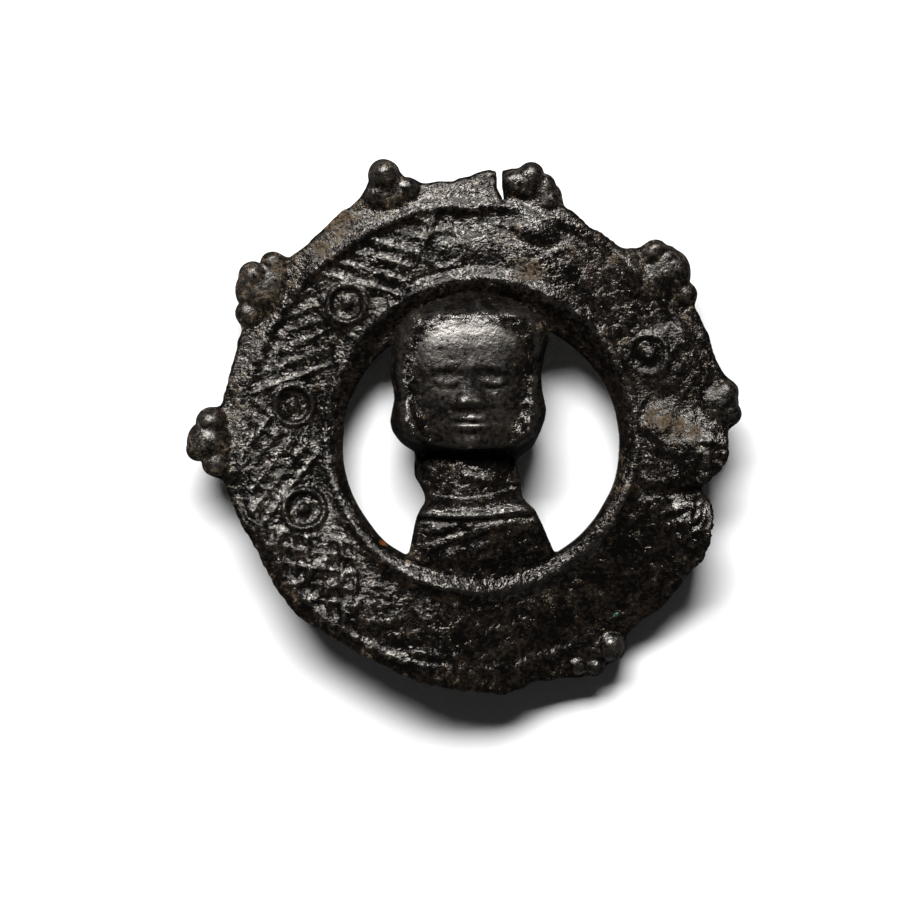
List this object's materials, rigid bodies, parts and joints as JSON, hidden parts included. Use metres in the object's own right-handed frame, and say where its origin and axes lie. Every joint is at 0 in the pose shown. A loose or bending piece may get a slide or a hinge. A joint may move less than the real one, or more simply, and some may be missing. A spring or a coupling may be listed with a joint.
{
  "type": "pilgrim badge",
  "caption": "Cast pewter openwork badge: a flat ring with raised borders, ring-and-pellet and hatched ornament and edge pellets, round a bust, with a lug, hooked catch and pin behind.",
  "frame": {"origin": "Middle of the badge's box, on the surface it rests on, under the feet of the lug and the catch.", "axes": "It lies face up. +Z points out of the face, +Y up the bust from collar to crown, and +X to the viewer's right."},
  "size_m": [0.032, 0.031, 0.0065],
  "materials": {
    "alloy": "rough, pitted, near-black patina",
    "wire": "rough, corroded"
  },
  "bodies": {
    "root": {"casting": "alloy", "pin": "wire"}
  },
  "joints": []
}
